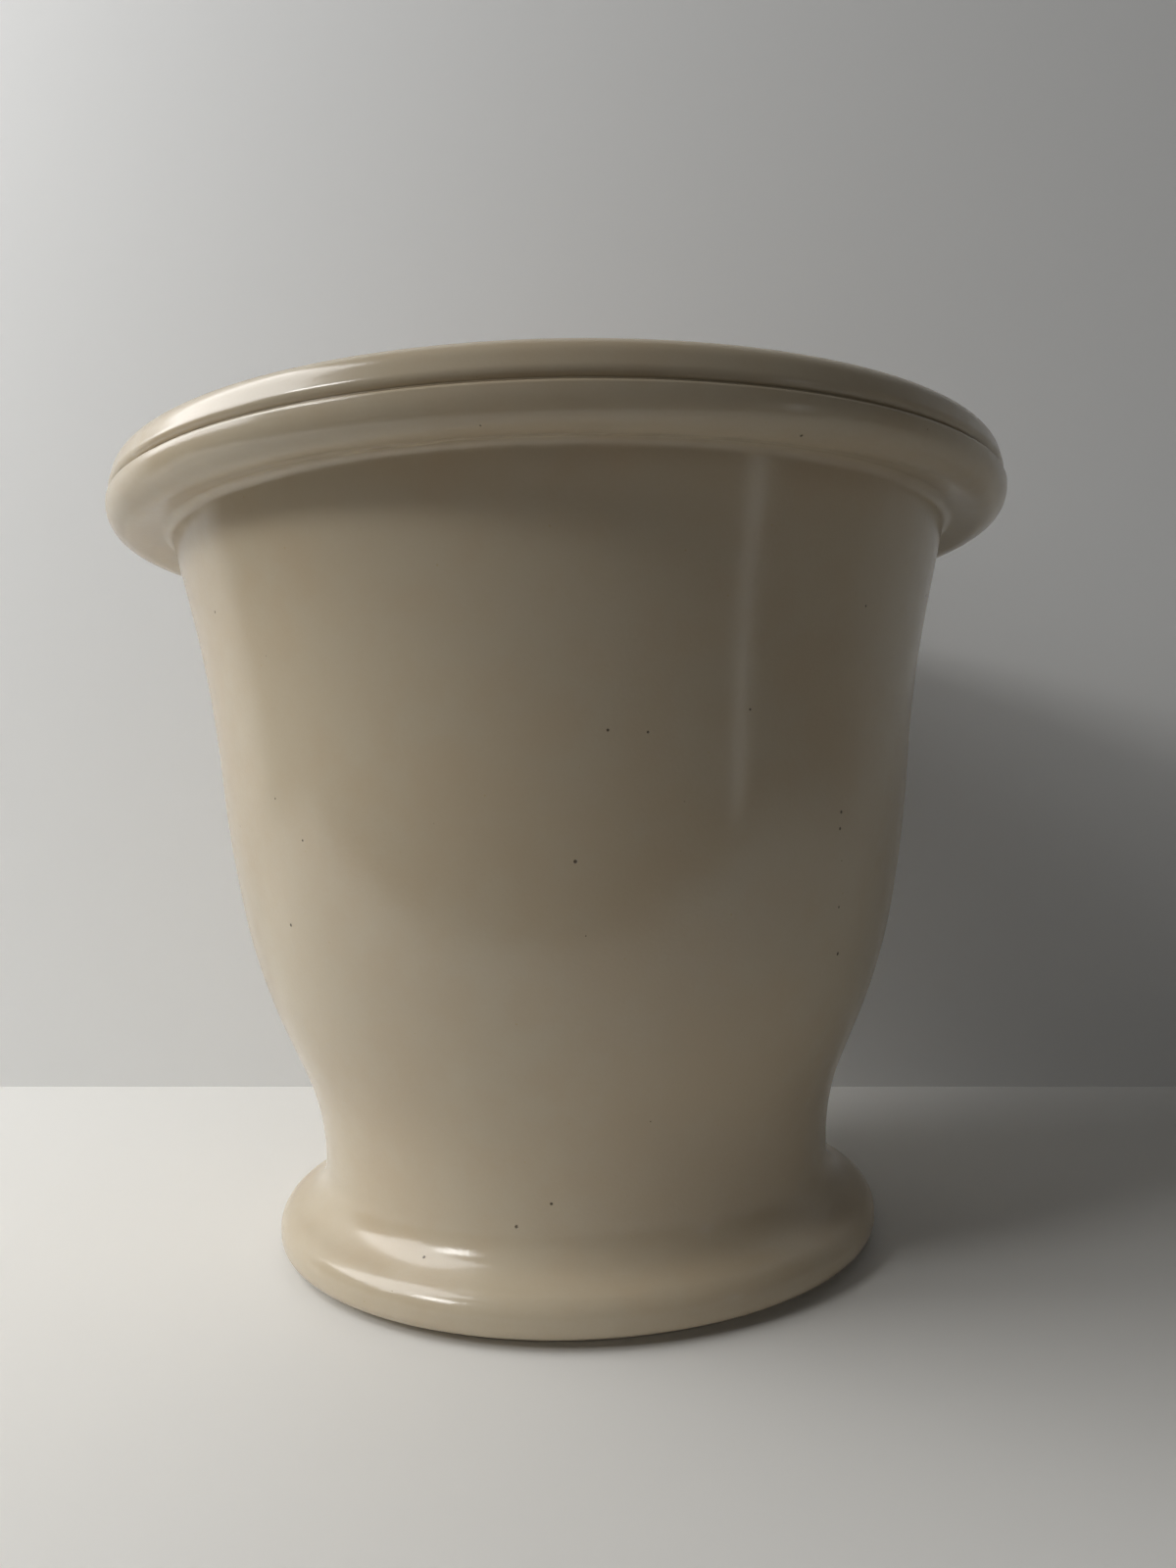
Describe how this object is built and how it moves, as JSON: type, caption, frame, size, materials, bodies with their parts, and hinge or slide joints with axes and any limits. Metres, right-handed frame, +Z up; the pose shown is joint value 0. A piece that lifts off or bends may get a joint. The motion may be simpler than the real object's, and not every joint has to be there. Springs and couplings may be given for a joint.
{
  "type": "mortar and pestle",
  "caption": "Footed stoneware mortar with a flanged lip and a tapering bell-shaped body; a pear-headed stoneware pestle with a cemented turned wooden handle leans inside and lifts out.",
  "frame": {"origin": "centre of the foot ring, in the plane that the mortar stands on, on the mortar's axis", "axes": "+Z up along the mortar's axis; the pestle leans towards +Y, so the part is symmetric about the plane X = 0"},
  "size_m": [0.18, 0.18, 0.1939],
  "materials": {
    "cream_glaze": "gloss",
    "stoneware": "matte",
    "cement": "matte",
    "handle_wood": "satin"
  },
  "bodies": {
    "mortar": {"mortar_body": "cream_glaze"},
    "pestle": {"pestle_head": "stoneware", "handle_cement": "cement", "pestle_handle": "handle_wood"}
  },
  "joints": [
    {"name": "pestle_lift", "type": "slide", "parent": "mortar", "child": "pestle", "axis": [0, 0, 1], "range_m": [0, 0.17]}
  ]
}
